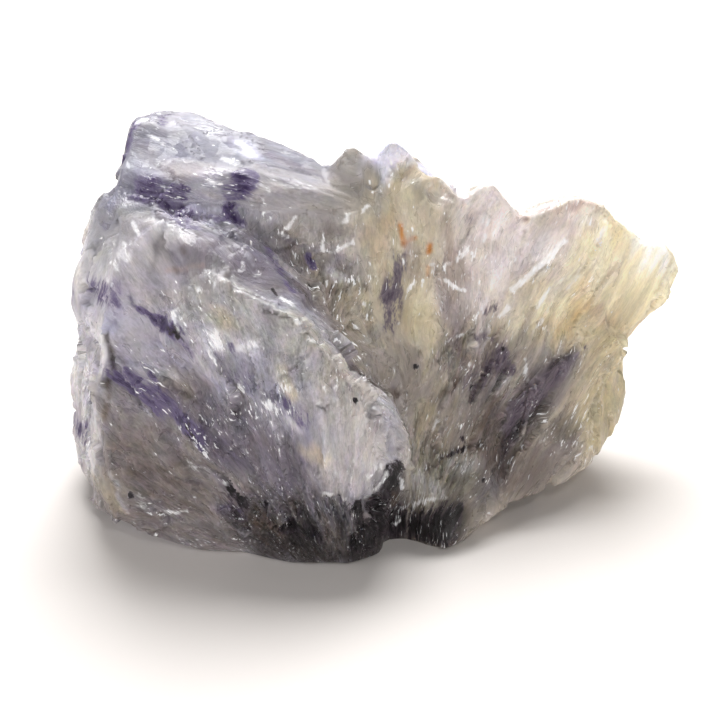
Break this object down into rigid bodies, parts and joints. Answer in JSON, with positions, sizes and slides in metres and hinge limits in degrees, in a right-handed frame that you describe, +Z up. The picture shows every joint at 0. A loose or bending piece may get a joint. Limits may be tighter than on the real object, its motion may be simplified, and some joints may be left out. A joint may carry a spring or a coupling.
{
  "type": "rough blue john fluorite stone",
  "caption": "Rough natural fluorite stone: a blocky growth of stacked sloping lumps and a fan of coarse columns meet in a deep valley; it rests on its flat underside.",
  "frame": {"origin": "centre of the bounding box in X and Y, at the underside in Z", "axes": "+X from the blocky growth to the tip of the fan, as seen from the front; +Y from the front to the back; +Z up from the flat underside"},
  "size_m": [0.0612, 0.0404, 0.0356],
  "materials": {
    "fluorite": "rough broken crystal, slightly see-through, banded purple, lilac and cream"
  },
  "bodies": {
    "root": {"fluorite": "fluorite"}
  },
  "joints": []
}
